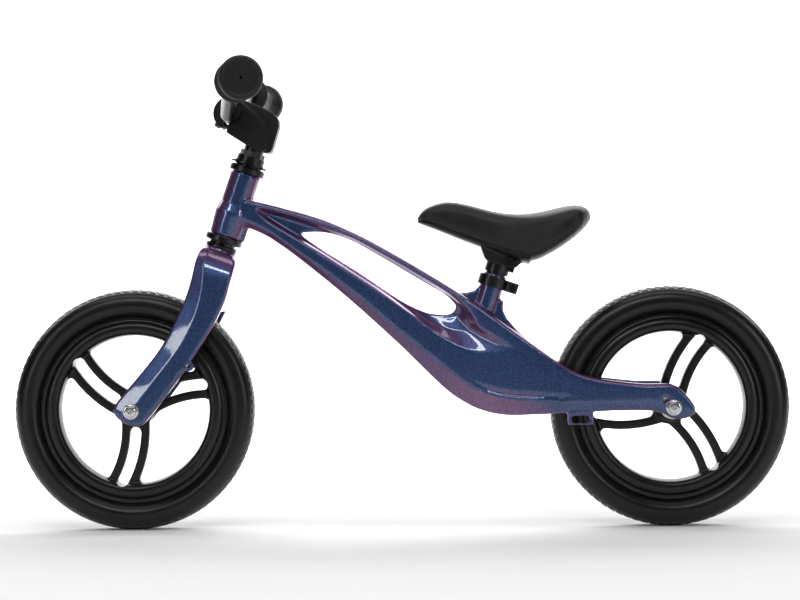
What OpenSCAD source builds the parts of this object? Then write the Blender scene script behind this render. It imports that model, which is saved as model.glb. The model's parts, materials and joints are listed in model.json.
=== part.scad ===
// Balance bike for a small child.
// A cast frame and a cast fork, a threaded headset, a quill stem with a riser
// handlebar, two moulded wheels with foam tyres and a foam saddle on a post.
// The front points to -X, up is +Z, the middle plane is y = 0 and the ground
// is z = 0, halfway between the two wheels. All sizes are in millimetres.

/* [Wheels] */
// Distance between the two axles
wheelbase = 594; // [540:2:720]
// Outer diameter of the tyres
tyre_d = 266; // [226:2:310]
// Width of the tyres
tyre_w = 45; // [38:1:54]
// Diameter on which the tyre sits
rim_seat_d = 208; // [190:2:212]
// Diameter of the open middle of the rim
rim_inner_d = 164; // [140:2:172]
// Width of the rim across its outer walls
rim_w = 35; // [30:1:42]
// Diameter of the moulded hub
hub_d = 33; // [30:1:40]
// Width of one spoke bar
spoke_w = 9.5; // [6:0.5:10]
// Depth of a spoke from side to side
spoke_deep = 13; // [9:1:18]
// Slot between the two bars of a spoke pair
spoke_slot = 12; // [9:0.5:14]
// Radius of the curve that a spoke pair follows
spoke_bend = 125; // [110:5:180]
// Turn of the front wheel at rest
front_turn = 2; // [-60:0.5:60]
// Turn of the rear wheel at rest
rear_turn = -43.5; // [-60:0.5:60]

/* [Axles] */
// Diameter of the axles
axle_d = 10; // [8:1:12]
// Outer diameter of the wheel bearings
bearing_d = 22; // [20:1:24]
// Width of one wheel bearing
bearing_w = 6; // [5:1:8]
// Diameter of the axle bolts
bolt_d = 6; // [5:0.5:7]
// Diameter of the axle bolt heads
bolt_head_d = 16; // [13:1:18]
// Room between the tyre and the fork or frame on each side
side_gap = 9.5; // [7:0.5:14]
// Thickness of the fork ends and the frame ends
end_wall = 12; // [9:1:14]

/* [Steering] */
// Lean of the steering axis from the vertical
head_tilt = 19; // [14:1:22]
// Distance from the steering axis forward to the front axle
fork_offset = 33; // [26:1:40]
// Height of the fork above the front axle, along the steering axis
fork_len = 197; // [190:1:230]
// Length of the head tube
head_len = 74; // [66:1:90]
// Outer diameter of the head tube
head_d = 34; // [32:1:40]
// Outer diameter of the steerer tube
steerer_d = 25.4; // [24:0.2:26]
// Diameter of the quill
quill_d = 22; // [20:0.2:22.2]
// How far the quill reaches down inside the steerer tube
quill_deep = 88; // [70:1:100]

/* [Handlebar] */
// Width across the ends of the grips
bar_span = 360; // [320:4:440]
// Diameter of the handlebar tube
bar_d = 22.2; // [19:0.2:22.2]
// Height that the riser bends lift the grips
bar_rise = 31.5; // [20:0.5:45]
// Sweep of the grips to the back
bar_sweep = 8.5; // [0:0.5:14]
// Distance from the steering axis forward to the clamp
clamp_reach = 36; // [32:1:44]
// Length of one grip
grip_len = 98; // [85:1:110]
// Diameter of a grip where the hand holds it
grip_d = 28; // [26:1:32]
// Diameter of the round guards at both ends of a grip
guard_d = 47; // [38:1:54]

/* [Seat] */
// Place of the seat tube along the frame, in percent of its length
seat_place = 59; // [57:0.5:61]
// Lean of the seat tube from the vertical
seat_tilt = 18.5; // [15:0.5:21]
// Diameter of the seat post
post_d = 22; // [20:0.2:25]
// Length of the seat post
post_len = 130; // [115:1:150]
// Wall of the seat tube
seat_wall = 2.5; // [2:0.1:4]
// Length of the saddle
saddle_len = 192; // [170:2:220]
// Width of the saddle at the back
saddle_w = 128; // [110:2:150]

/* [Hidden] */
$fn = 96;
paint = "midnightblue";
rubber = [0.10, 0.10, 0.10];
plastic = [0.16, 0.16, 0.17];
metal = [0.75, 0.75, 0.77];
black_steel = [0.22, 0.22, 0.24];

// Clearances
fit_gap = 0.05;       // running fit on a shaft, per side
loose_gap = 0.4;      // bolt in its hole, per side
part_gap = 0.5;       // between pieces that turn past each other
tyre_gap = 8;         // above the tyre in the yoke of the frame
crown_gap = 12;       // above the tyre under the fork crown

// Wheels
tyre_r = tyre_d / 2;
axle_z = tyre_r;
front_x = -wheelbase / 2;
rear_x = wheelbase / 2;
end_in = tyre_w / 2 + side_gap;          // inner face of fork and frame ends
end_out = end_in + end_wall;             // outer face of fork and frame ends
hub_half = end_in - 8;
washer_t = 1.2;
lip = 4;                                 // how far a slot bites into the rim

// Steering: its own frame has its origin where the axis passes the front
// axle, z along the axis and x to the back
steer_x = front_x + fork_offset * cos(head_tilt);
steer_z = axle_z - fork_offset * sin(head_tilt);
lower_stack = 17;                        // crown to the head tube
head_low = fork_len + lower_stack;
head_top = head_low + head_len;
cup_d = head_d + 5;
low_cup_d = head_d + 7;
cup_h = 7;
collar_h = 27;                           // wider part of the head tube
collar_out = 3;                          // how far its upper edge stands out
skirt_r = head_d / 2 - 2;                // pressed part of a cup
bore_r = steerer_d / 2 + 1.3;            // head tube bore around the steerer
ball_r = 1.6;
ball_ring_r = steerer_d / 2 + 3.4;
ball_z = 6.2;                            // balls above the end of the head tube
race_seat = 3;                           // boss on the fork crown that carries the race
nut_top = head_top + 25;
steerer_top = nut_top - 2;
stem_low = nut_top + 5;
clamp_z = nut_top + 32;
clamp_r = bar_d / 2 + 8;

// Frame: its line runs from a point in the head tube to the rear axle, and
// each outline gives [percent along the line, height above the line]
anchor_z = head_low + 38.5;
line_x = steer_x + anchor_z * sin(head_tilt);
line_z = steer_z + anchor_z * cos(head_tilt);
ridge_line = [
    [2, 6], [5, 10], [10, 15.5], [20, 24], [29, 25.5], [38, 22], [47, 16.5], [56, 9],
    [61, 3], [65, -2], [70, -8], [74, -12.5], [78, -14.5], [83, -10], [88, -2],
    [93, 7], [97, 16], [99, 20.5], [100.5, 22], [102, 20], [104, 14], [105, 9]
];
low_line = [
    [2, -13], [7, -13], [10, -16], [19, -26], [29, -40], [38, -56], [47, -71],
    [52, -79], [56, -81], [61, -77], [67, -66], [74, -53], [83, -33], [90, -16],
    [96, -2], [102, 2], [105, 6]
];
belly_line = [
    [2, -22], [4, -20], [8, -20.5], [15, -29], [26, -47.5], [38, -73], [48, -97.3],
    [53, -102.8], [57, -102], [62, -95], [70, -75.5], [76, -60], [82, -45],
    [88, -30.5], [94, -17], [97, -12], [99, -12.5], [101, -11], [103, -5], [105, 4]
];
// Half width of the frame over its stays, as a share from 0 at the slim
// front beam to 1 at the frame ends
flare_line = [
    [2, 0.04], [15, 0], [36, 0], [44, 0.06], [52, 0.25], [58, 0.48],
    [64, 0.74], [70, 0.93], [76, 1], [90, 1], [105, 1]
];
beam_half = 14.5;
// Slope of the lower bevel: how much narrower the underside is than the side
under_line = [[2, 5], [20, 7], [40, 9], [52, 13], [60, 15], [68, 10], [76, 4], [105, 3]];
crown_rise = 3.5;
crown_in = 4.5;
stations = [for (t = [2 : 1.5 : 98]) t, for (t = [99 : 1 : 105]) t];

// Window between the beams, [percent, height]: its edge at the middle plane,
// and where the slopes around it meet the side of the frame
window_in = [
    [15.2, -0.5], [16.4, 5], [20.8, 14.5], [26.4, 18.8], [33, 16.3], [42.4, 10.6],
    [46.8, 8.2], [49.2, 5.4], [50.7, 0], [50.1, -7.5], [48.8, -13.5], [46.2, -19.2],
    [43.2, -22.8], [37.8, -22.2], [28.6, -13], [19.6, -6]
];
pocket_in = [
    [6.2, 3.5], [8.5, 7.5], [12, 10.5], [16, 13.5], [21, 16.5], [26.5, 20], [33.2, 17.5],
    [42.6, 12], [47, 9.5], [49.8, 6.2], [51.3, 0], [50.9, -8], [49.4, -14.7],
    [46.5, -20.6], [43.5, -24.1], [37.8, -23.5], [28.6, -14.4], [19.5, -7.4], [13, -3.5], [8.5, 0]
];
// The third number is how deep the wall still is a third of the way inward:
// low under a hard edge, high where the wall fades into the side
pocket_out = [
    [4.6, 4.5, 0.4], [6.8, 10, 0.4], [10.5, 13.5, 0.4], [15, 17.5, 0.4], [21.5, 21.5, 0.4],
    [28, 23, 0.4], [34, 20.8, 0.4], [43, 15.8, 0.4], [48.5, 12, 0.5], [54, 7, 0.75],
    [60, -2, 0.8], [64.4, -14, 0.7], [62.3, -23, 0.35], [57.7, -36, 0.25], [53, -42.5, 0.25],
    [46.9, -41, 0.3], [37, -28.3, 0.35], [24, -16, 0.4], [13, -7, 0.4], [7, -3, 0.4]
];
web_half = 5;
// Long shallow groove low on the side of the belly
groove = [
    [54, -73], [58, -73.5], [64, -65.5], [70, -53],
    [77, -39.5], [77, -41.5], [70, -56.5], [63.5, -70.5], [58, -77.5]
];
groove_deep = 2.2;

// Seat tube: its own frame has z along the tube and its origin where the
// clamp band begins
seat_x = line_x + seat_place / 100 * (rear_x - line_x);
seat_z = line_z + seat_place / 100 * (axle_z - line_z) + 40;
seat_r = post_d / 2 + fit_gap + seat_wall;
band_h = 12;
band_t = 3;
ear_x = seat_r + 9;
post_low = 28 - post_len;
post_top = 28;
saddle_x = -82;                          // nose of the saddle from the seat tube

/* Smooth curve through [place, height] knots */
function grade(k, i) =
    i == 0 ? (k[1][1] - k[0][1]) / (k[1][0] - k[0][0])
    : i == len(k) - 1 ? (k[i][1] - k[i - 1][1]) / (k[i][0] - k[i - 1][0])
    : (k[i + 1][1] - k[i - 1][1]) / (k[i + 1][0] - k[i - 1][0]);
function span_of(k, t, i = 0) = i >= len(k) - 2 || t <= k[i + 1][0] ? i : span_of(k, t, i + 1);
function smooth(k, t) =
    let (i = span_of(k, t), w = k[i + 1][0] - k[i][0], u = (t - k[i][0]) / w)
    k[i][1] * (1 + 2 * u) * pow(1 - u, 2) + grade(k, i) * w * u * pow(1 - u, 2)
    + k[i + 1][1] * u * u * (3 - 2 * u) + grade(k, i + 1) * w * u * u * (u - 1);

/* Closed smooth outline through a few points, with n steps between them */
function bend(a, b, c, d, u) =
    0.5 * (2 * b + (c - a) * u + (2 * a - 5 * b + 4 * c - d) * u * u + (3 * b - a - 3 * c + d) * u * u * u);
function closed(p, n) =
    let (m = len(p))
    [for (i = [0 : m - 1], j = [0 : n - 1]) bend(p[(i + m - 1) % m], p[i], p[(i + 1) % m], p[(i + 2) % m], j / n)];

/* Places on the frame */
function on_line(p) = [
    line_x + p[0] / 100 * (rear_x - line_x),
    line_z + p[0] / 100 * (axle_z - line_z) + p[1]
];
function side_half(t) = beam_half + (end_out - beam_half) * smooth(flare_line, t);

/* Solid through a row of rings with the same number of points */
module skin(rings) {
    n = len(rings[0]);
    m = len(rings);
    polyhedron(
        points = [for (r = rings) each r],
        faces = concat(
            [[for (i = [0 : n - 1]) i]],
            [for (j = [0 : m - 2], i = [0 : n - 1]) [j * n + i, (j + 1) * n + i, (j + 1) * n + (i + 1) % n]],
            [for (j = [0 : m - 2], i = [0 : n - 1]) [j * n + i, (j + 1) * n + (i + 1) % n, j * n + (i + 1) % n]],
            [[for (i = [n - 1 : -1 : 0]) (m - 1) * n + i]]
        )
    );
}

module both_sides() {
    children();
    mirror([0, 1, 0]) children();
}
module at_steering() { translate([steer_x, 0, steer_z]) rotate([0, head_tilt, 0]) children(); }
module at_seat() { translate([seat_x, 0, seat_z]) rotate([0, seat_tilt, 0]) children(); }
module across(len, r) { rotate([90, 0, 0]) cylinder(h = len, r = r, center = true); }
// Turns a shape drawn around z so that its axis lies along y, z going to +y
module along_y() { rotate([-90, 0, 0]) children(); }
module tube(h, r_out, r_in) {
    difference() {
        cylinder(h = h, r = r_out);
        translate([0, 0, -1]) cylinder(h = h + 2, r = r_in);
    }
}

/* ---------- Frame ---------- */
function frame_ring(t) =
    let (
        w = side_half(t),
        under = w - smooth(under_line, t),
        top = on_line([t, smooth(ridge_line, t) + crown_rise]),
        ridge = on_line([t, smooth(ridge_line, t)]),
        low = on_line([t, min(smooth(low_line, t), smooth(ridge_line, t) - 2)]),
        belly = on_line([t, smooth(belly_line, t)])
    )
    [
        [belly[0], -under, belly[1]], [belly[0], under, belly[1]], [low[0], w, low[1]],
        [ridge[0], w, ridge[1]], [top[0], w - crown_in, top[1]], [top[0], crown_in - w, top[1]],
        [ridge[0], -w, ridge[1]], [low[0], -w, low[1]]
    ];
function flat_ring(outline, y) = [for (p = outline) let (q = on_line(p)) [q[0], y, q[1]]];
function side_ring(outline, depth) =
    [for (p = outline) let (q = on_line(p)) [q[0], side_half(p[0]) - depth, q[1]]];

module pocket_cut() {
    inner = closed(pocket_in, 3);
    outer = closed(pocket_out, 3);
    half_way = [for (i = [0 : len(inner) - 1])
        let (p = inner[i] * 0.62 + [outer[i][0], outer[i][1]] * 0.38, q = on_line(p))
        [q[0], web_half + outer[i][2] * (side_half(outer[i][0]) - web_half), q[1]]];
    skin([flat_ring(inner, web_half), half_way, side_ring(outer, 0), flat_ring(outer, end_out + 10)]);
}
module window_cut() {
    outline = [for (p = closed(window_in, 4)) on_line(p)];
    rotate([90, 0, 0]) linear_extrude(3 * web_half, center = true) polygon(outline);
}
module groove_cut() {
    outline = closed(groove, 2);
    skin([side_ring(outline, groove_deep), side_ring(outline, -3)]);
}
tab_len = 28;
tab_h = 19;
tab_x = rear_x - 102;
module slotted_tab() {
    slot_r = 4;
    translate([tab_x, end_out - 5, axle_z - 9])
        difference() {
            along_y() linear_extrude(7, center = true)
                translate([-tab_len / 2, -tab_h / 2]) square([tab_len, tab_h]);
            for (s = [-1, 1])
                translate([s * (tab_len / 2 - slot_r - 4), 0, -3.5]) across(20, slot_r);
            translate([0, 0, -3.5]) cube([tab_len - 2 * slot_r - 8, 20, 2 * slot_r], center = true);
        }
}
// Webs that lead the seat tube into the frame, in front and behind
module seat_webs() {
    front_web = [
        [48, 13], [50.5, 15.5], [53, 20], [55, 27], [56.3, 36], [60, 20], [58, -20], [48, 0]
    ];
    rear_web = [
        [61.8, 32], [61.6, 20], [62.5, 13], [64.5, 6], [68, -2], [66, -20], [58, -20], [59, 20]
    ];
    for (web = [front_web, rear_web])
        rotate([90, 0, 0]) linear_extrude(15, center = true) polygon([for (p = web) on_line(p)]);
}
// The casting without its tubes, with the window, the pockets and the yoke
module casting_shell() {
    difference() {
        union() {
            difference() {
                skin([for (t = stations) frame_ring(t)]);
                both_sides() pocket_cut();
                both_sides() groove_cut();
            }
            seat_webs();
        }
        window_cut();
        // Room for the wheel
        translate([rear_x, 0, axle_z]) across(2 * end_in, tyre_r + tyre_gap);
    }
}
module frame() {
    color(paint)
    difference() {
        union() {
            resize([0, 0, 0]) casting_shell();
            at_steering() translate([0, 0, head_low]) cylinder(h = head_len, r = head_d / 2);
            // Wider lower third of the head tube, with a short cone above it
            at_steering() translate([0, 0, head_low])
                cylinder(h = collar_h, r1 = head_d / 2 + 0.8, r2 = head_d / 2 + collar_out);
            at_steering() translate([0, 0, head_low + collar_h])
                cylinder(h = 12, r1 = head_d / 2 + collar_out, r2 = head_d / 2 - 0.2);
            // Fin behind the lower end of the head tube
            at_steering() translate([0, -5, head_low]) cube([head_d / 2 + 5, 10, 26]);
            at_seat() translate([0, 0, -95]) cylinder(h = 95 + band_h + 3, r = seat_r);
            both_sides() slotted_tab();
        }
        // Head tube bore and cup seats
        at_steering() translate([0, 0, head_low - 1]) cylinder(h = head_len + 2, r = bore_r);
        at_steering() translate([0, 0, head_low - 1]) cylinder(h = cup_h + 1, r = skirt_r);
        at_steering() translate([0, 0, head_top - cup_h]) cylinder(h = cup_h + 1, r = skirt_r);
        // Seat post bore and the slot that lets the clamp close it
        at_seat() translate([0, 0, post_low - 3]) cylinder(h = post_len + 20, r = post_d / 2 + fit_gap);
        at_seat() translate([0, -1, -4]) cube([seat_r + 5, 2, 30]);
        // Axle bolt holes and small fixing holes above them
        translate([rear_x, 0, axle_z]) across(2 * end_out + 20, bolt_d / 2 + loose_gap);
        translate([rear_x - 9, 0, axle_z + 8.5]) across(2 * end_out + 20, 3.2);
    }
}
module upper_cup() {
    color(black_steel) at_steering() translate([0, 0, head_top]) headset_cup(cup_d / 2);
}
module lower_cup() {
    color(black_steel) at_steering() translate([0, 0, head_low]) mirror([0, 0, 1]) headset_cup(low_cup_d / 2);
}
// Pressed cup with its flange above z = 0 and its skirt below
module headset_cup(r) {
    wall_r = ball_ring_r + ball_r + 0.35;
    rotate_extrude()
        polygon([
            [bore_r, 1 - cup_h], [skirt_r, 1 - cup_h], [skirt_r, 0], [r - 0.8, 0], [r, 0.8], [r, cup_h - 1],
            [r - 1, cup_h], [wall_r, cup_h], [wall_r, 4.8], [ball_ring_r, 3.8], [bore_r, 3.2]
        ]);
}
module seat_clamp_band() {
    ear_len = 13;
    color(black_steel) at_seat()
        difference() {
            union() {
                cylinder(h = band_h, r = seat_r + band_t);
                translate([seat_r - 2, -6, 0]) cube([ear_len + 4, 12, band_h]);
            }
            translate([0, 0, -1]) cylinder(h = band_h + 2, r = seat_r);
            translate([0, -1.2, -1]) cube([40, 2.4, band_h + 2]);
            translate([ear_x, 0, band_h / 2]) across(30, 2.5 + loose_gap);
        }
}
module seat_clamp_bolt() {
    color(black_steel) at_seat() translate([ear_x, -6, band_h / 2]) cap_bolt(2.5, 16, 4.2, 4, 2);
}
module seat_clamp_nut() {
    color(black_steel) at_seat() translate([ear_x, 6, band_h / 2])
        along_y() difference() {
            cylinder(h = 4, r = 4.6, $fn = 6);
            translate([0, 0, -1]) cylinder(h = 6, r = 2.5, $fn = 48);
        }
}
// Socket head bolt whose head seats on the plane y = 0 and whose shank runs to +y
module cap_bolt(r, len, head_r, head_h, key_r) {
    along_y() difference() {
        union() {
            translate([0, 0, -head_h]) cylinder(h = head_h, r = head_r, $fn = 48);
            cylinder(h = len, r = r, $fn = 48);
        }
        translate([0, 0, -head_h - 1]) cylinder(h = head_h * 0.6 + 1, r = key_r, $fn = 6);
    }
}

/* ---------- Axle sets, drawn around the wheel centre ---------- */
module axle_shaft() {
    difference() {
        across(2 * end_in, axle_d / 2);
        for (s = [-1, 1])
            translate([0, s * (end_in - 9), 0]) across(20, bolt_d / 2);
    }
}
// Domed socket bolt, its head against the washer
module axle_bolt() {
    shank = end_wall + washer_t + 14;
    head_r = bolt_head_d / 2;
    translate([0, end_out + washer_t, 0]) along_y()
        difference() {
            rotate_extrude() polygon([
                [0, -shank], [bolt_d / 2, -shank], [bolt_d / 2, 0], [head_r, 0], [head_r, 1.4],
                [head_r - 1, 2.2], [head_r - 1.6, 2.4], [head_r - 2.2, 3.6], [head_r - 3.6, 4.6], [0, 5]
            ]);
            translate([0, 0, 2]) cylinder(h = 5, r = 2.9, $fn = 6);
        }
}
module axle_bolts() { both_sides() axle_bolt(); }
module washers() {
    both_sides() translate([0, end_out, 0]) along_y()
        tube(washer_t, bolt_head_d / 2 + 0.8, bolt_d / 2 + loose_gap);
}
module spacers() {
    both_sides() translate([0, hub_half + part_gap, 0]) along_y() difference() {
        union() {
            cylinder(h = end_in - hub_half - part_gap, r = axle_d / 2 + 2.5);
            translate([0, 0, 3.5]) cylinder(h = end_in - hub_half - part_gap - 3.5, r = hub_d / 2 - 3);
        }
        translate([0, 0, -1]) cylinder(h = end_in, r = axle_d / 2);
    }
}
module at_rear() { translate([rear_x, 0, axle_z]) children(); }
module at_front() { translate([front_x, 0, axle_z]) children(); }
module rear_axle() { color(metal) at_rear() axle_shaft(); }
module rear_axle_bolts() { color(metal) at_rear() axle_bolts(); }
module rear_washers() { color(metal) at_rear() washers(); }
module rear_spacers() { color(metal) at_rear() spacers(); }
module front_axle() { color(metal) at_front() axle_shaft(); }
module front_axle_bolts() { color(metal) at_front() axle_bolts(); }
module front_washers() { color(metal) at_front() washers(); }
module front_spacers() { color(metal) at_front() spacers(); }

/* ---------- Fork ---------- */
// Front edge, rear edge and the crease of the outer face, [height, place]
// along and across the steering axis, the places measured from the fork
// offset at the axle and from the axis at the crown
blade_front = [
    [-15, -33], [-13, -44], [-9, -50], [-4, -52.5],
    [3, -52], [14, -48], [34, -40], [51, -33.5], [68, -27.5],
    [86, -23], [110, -19], [132, -17], [153, -17], [166, -18], [180, -19.5], [192, -19], [196, -17]
];
blade_rear = [
    [-15, -27], [-13, -20], [-8, -15], [0, -12], [7, -9],
    [24, -3.5], [36, 0.5], [50, 5], [67, 10], [80, 14], [96, 18],
    [110, 21], [128, 24], [149, 26], [166, 25], [180, 24], [192, 22], [196, 18]
];
blade_crease = [[-15, -30], [0, -30], [33, -21], [61, -11], [87, -3], [117, 1], [140, 0], [167, -5], [186, -11], [196, -12]];
fork_heights = [for (z = [-15 : 2 : -3]) z, for (z = [3 : 8 : 155]) z, for (z = [160 : 4 : 196]) z];
shoulder_z = 160;
crown_z = 198;                           // drawn height where the shoulders end
neck_half = 17;                          // half width of the crown there
// The tables are drawn for this height and offset; another fork length or
// offset stretches the blades between their two ends
drawn_top = 196;
drawn_offset = 33;
function fork_z(z) = z <= 0 ? z : z * (fork_len - 1) / drawn_top;
function fork_x(z, x) = x + (drawn_offset - fork_offset) * (1 - max(0, min(1, z / drawn_top)));
function fork_half(z) =
    z < shoulder_z ? end_out
    : let (u = (z - shoulder_z) / (crown_z - shoulder_z))
        neck_half + (end_out - neck_half) * sqrt(max(0, 1 - u * u));
function fork_ring(z) =
    let (
        h = fork_z(z), w = fork_half(z),
        x0 = fork_x(z, smooth(blade_front, z)), x1 = fork_x(z, smooth(blade_rear, z)),
        xc = max(x0 + 1, min(x1 - 3, fork_x(z, smooth(blade_crease, z)))),
        bevel = min(7, (xc - x0) * 0.45)
    )
    [
        [x0, -w + bevel, h], [xc, -w, h], [x1 - 2, -w, h], [x1, -w + 3, h],
        [x1, w - 3, h], [x1 - 2, w, h], [xc, w, h], [x0, w - bevel, h]
    ];
module fork() {
    color(paint) at_steering()
    difference() {
        union() {
            skin([for (z = fork_heights) fork_ring(z)]);
            translate([0, 0, fork_len - 12]) cylinder(h = 12 + race_seat, r = head_d / 2 + 0.5);
            both_sides() fork_eyelet();
        }
        translate([-fork_offset, 0, 0]) across(2 * end_in, tyre_r + crown_gap);
        translate([-fork_offset, 0, 0]) across(2 * end_out + 20, bolt_d / 2 + loose_gap);
        cylinder(h = fork_len + 10, r = steerer_d / 2);
        // Screw holes in the eyelets
        both_sides() translate([11, end_out - 4, 67]) across(30, 2.2);
    }
}
module fork_eyelet() {
    translate([11, end_out - 4, 67]) across(8, 5.5);
    translate([3, end_out - 4, 67]) cube([16, 8, 11], center = true);
}
module steerer_tube() {
    color(black_steel) at_steering()
        translate([0, 0, fork_len - 40]) tube(steerer_top - fork_len + 40, steerer_d / 2, quill_d / 2 + fit_gap);
}
// Race with its wide side at z = 0 and its cone, inside the balls, reaching up to h
module race(flange_r, flange_h, h) {
    r = steerer_d / 2;
    rotate_extrude()
        polygon([
            [r, 0], [flange_r, 0], [flange_r, flange_h - 1], [flange_r - 1, flange_h],
            [r + 1.8, flange_h], [r + 1.6, h], [r, h]
        ]);
}
module crown_race() {
    color(black_steel) at_steering() translate([0, 0, fork_len + race_seat])
        race(head_d / 2 + 0.5, 4, lower_stack - race_seat - 5);
}
module ball_ring(z) {
    balls = 18;
    at_steering() translate([0, 0, z]) {
        for (i = [0 : balls - 1])
            rotate([0, 0, i * 360 / balls]) translate([ball_ring_r, 0, 0]) sphere(r = ball_r, $fn = 24);
        translate([0, 0, -0.4]) tube(0.8, ball_ring_r + 0.9, ball_ring_r - 0.9);
    }
}
module lower_balls() { color(metal) ball_ring(head_low - ball_z); }
module upper_balls() { color(metal) ball_ring(head_top + ball_z); }
module top_race() {
    color(black_steel) at_steering() translate([0, 0, head_top + 13]) mirror([0, 0, 1])
        race(cup_d / 2 - 3, 4.4, 8);
}
module dust_seal() {
    color(black_steel) at_steering() translate([0, 0, head_top + 9.4])
        tube(1.8, cup_d / 2 + 0.8, cup_d / 2 - 3);
}
module keyed_washer() {
    color(black_steel) at_steering() translate([0, 0, head_top + 13]) tube(1.2, cup_d / 2 - 4.2, steerer_d / 2);
}
module locknut() {
    low = head_top + 14.2;
    color(black_steel) at_steering() difference() {
        union() {
            translate([0, 0, low]) cylinder(h = 5, r = 15.4);
            translate([0, 0, low + 5]) cylinder(h = nut_top - low - 5, r = 14, $fn = 8);
        }
        translate([0, 0, low - 1]) cylinder(h = nut_top - low - 2 + 1, r = steerer_d / 2);
        translate([0, 0, low - 1]) cylinder(h = 20, r = quill_d / 2 + part_gap);
    }
}

/* ---------- Stem ---------- */
wedge_h = 22;
module quill() {
    low = steerer_top - quill_deep;
    color(black_steel) at_steering() difference() {
        translate([0, 0, low]) cylinder(h = clamp_z - low, r = quill_d / 2);
        translate([0, 0, low - 1]) cylinder(h = clamp_z - low + 2, r = 4.2 + loose_gap);
        // Slanted foot that the wedge slides on
        translate([0, 0, low]) rotate([0, 45, 0]) translate([-30, -20, -40]) cube([60, 40, 40]);
    }
}
module expander_wedge() {
    low = steerer_top - quill_deep;
    color(black_steel) at_steering() difference() {
        translate([0, 0, low - wedge_h + 8]) cylinder(h = wedge_h + 6, r = quill_d / 2 - 0.2);
        translate([0, 0, low - 0.3]) rotate([0, 45, 0]) translate([-30, -20, 0]) cube([60, 40, 40]);
        translate([0, 0, low - wedge_h - 5]) cylinder(h = wedge_h + 40, r = 4);
    }
}
module expander_bolt() {
    low = steerer_top - quill_deep;
    color(metal) at_steering() difference() {
        union() {
            translate([0, 0, low - wedge_h + 10]) cylinder(h = clamp_z + 4 - low + wedge_h - 10, r = 4, $fn = 48);
            translate([0, 0, clamp_z]) cylinder(h = 8, r = 6.5, $fn = 48);
        }
        translate([0, 0, clamp_z + 3]) cylinder(h = 8, r = 3, $fn = 6);
    }
}
// Side outline of the stem around the clamp centre, [back, up]
stem_outline = [
    [2, -10], [2, -21], [27, -27], [46, -29], [52, -28.5], [55.5, -26], [56, -21], [55, 4],
    [52, 11], [46, 15], [31, 18], [12, 19], [2, 18]
];
cheek_outline = [
    [2, -10], [2, -21], [27, -27], [46, -29], [50, -26],
    [48, -14], [45, -8], [42, -3], [37, 2], [29, 7], [19, 11],
    [8, 16], [2, 18]
];
clamp_bolt_d = 5;
clamp_seat = -9;                         // bolt heads in the cap, in front of the clamp centre

module stem_side(outline, half) {
    rotate([90, 0, 0]) linear_extrude(2 * half, center = true) polygon(outline);
}
cheek_half = 21;
module stem_body() {
    color(plastic) at_steering() difference() {
        translate([-clamp_reach, 0, clamp_z]) union() {
            stem_side(stem_outline, 15);
            stem_side(cheek_outline, cheek_half);
        }
        translate([-clamp_reach, 0, clamp_z]) across(60, bar_d / 2 + fit_gap);
        translate([0, 0, stem_low - 20]) cylinder(h = clamp_z - stem_low + 20, r = quill_d / 2);
        translate([0, 0, clamp_z - 5]) cylinder(h = 40, r = 7);
        at_clamp_bolts(0) rotate([0, 90, 0]) cylinder(h = 16, r = clamp_bolt_d / 2);
    }
}
module clamp_cap() {
    color(plastic) at_steering() difference() {
        translate([-clamp_reach, 0, clamp_z]) intersection() {
            across(2 * cheek_half, clamp_r);
            translate([-34, -30, -30]) cube([30, 60, 60]);
        }
        translate([-clamp_reach, 0, clamp_z]) across(60, bar_d / 2 + fit_gap);
        at_clamp_bolts(-20) rotate([0, 90, 0]) cylinder(h = 30, r = clamp_bolt_d / 2 + loose_gap);
        at_clamp_bolts(clamp_seat - 20) rotate([0, 90, 0]) cylinder(h = 20, r = 4.6);
    }
}
// Places of the four clamp bolts, a little way along the axis of the bolts
module at_clamp_bolts(x) {
    for (y = [-12, 12], z = [-14.5, 14.5])
        translate([x - clamp_reach, y, clamp_z + z]) children();
}
module clamp_bolts() {
    color(black_steel) at_steering()
        at_clamp_bolts(clamp_seat) rotate([0, 0, -90]) cap_bolt(clamp_bolt_d / 2, 24, 4.2, 4, 2);
}

/* ---------- Handlebar, drawn around the clamp centre ---------- */
riser_start = cheek_half + 7;
riser_end = riser_start + bar_rise * 1.6;
bend_swell = 0.1;                        // the tube is a hair thicker at its bends
module rod(a, b, r) {
    d = b - a;
    translate(a) rotate([0, acos(d[2] / norm(d)), atan2(d[1], d[0])]) cylinder(h = norm(d), r = r);
}
function bar_tip(y) = [tan(bar_sweep) * (y - riser_end), y, bar_rise];
module at_clamp() { at_steering() translate([-clamp_reach, 0, clamp_z]) children(); }
module half_bar() {
    r = bar_d / 2;
    a = [0, riser_start, 0];
    b = bar_tip(riser_end);
    c = bar_tip(bar_span / 2 - 6);
    translate(a) sphere(r = r + bend_swell);
    rod(a, b, r);
    translate(b) sphere(r = r + bend_swell);
    rod(b, c, r);
}
module handlebar() {
    color(black_steel) at_clamp() {
        across(2 * riser_start, bar_d / 2);
        both_sides() half_bar();
    }
}
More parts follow.
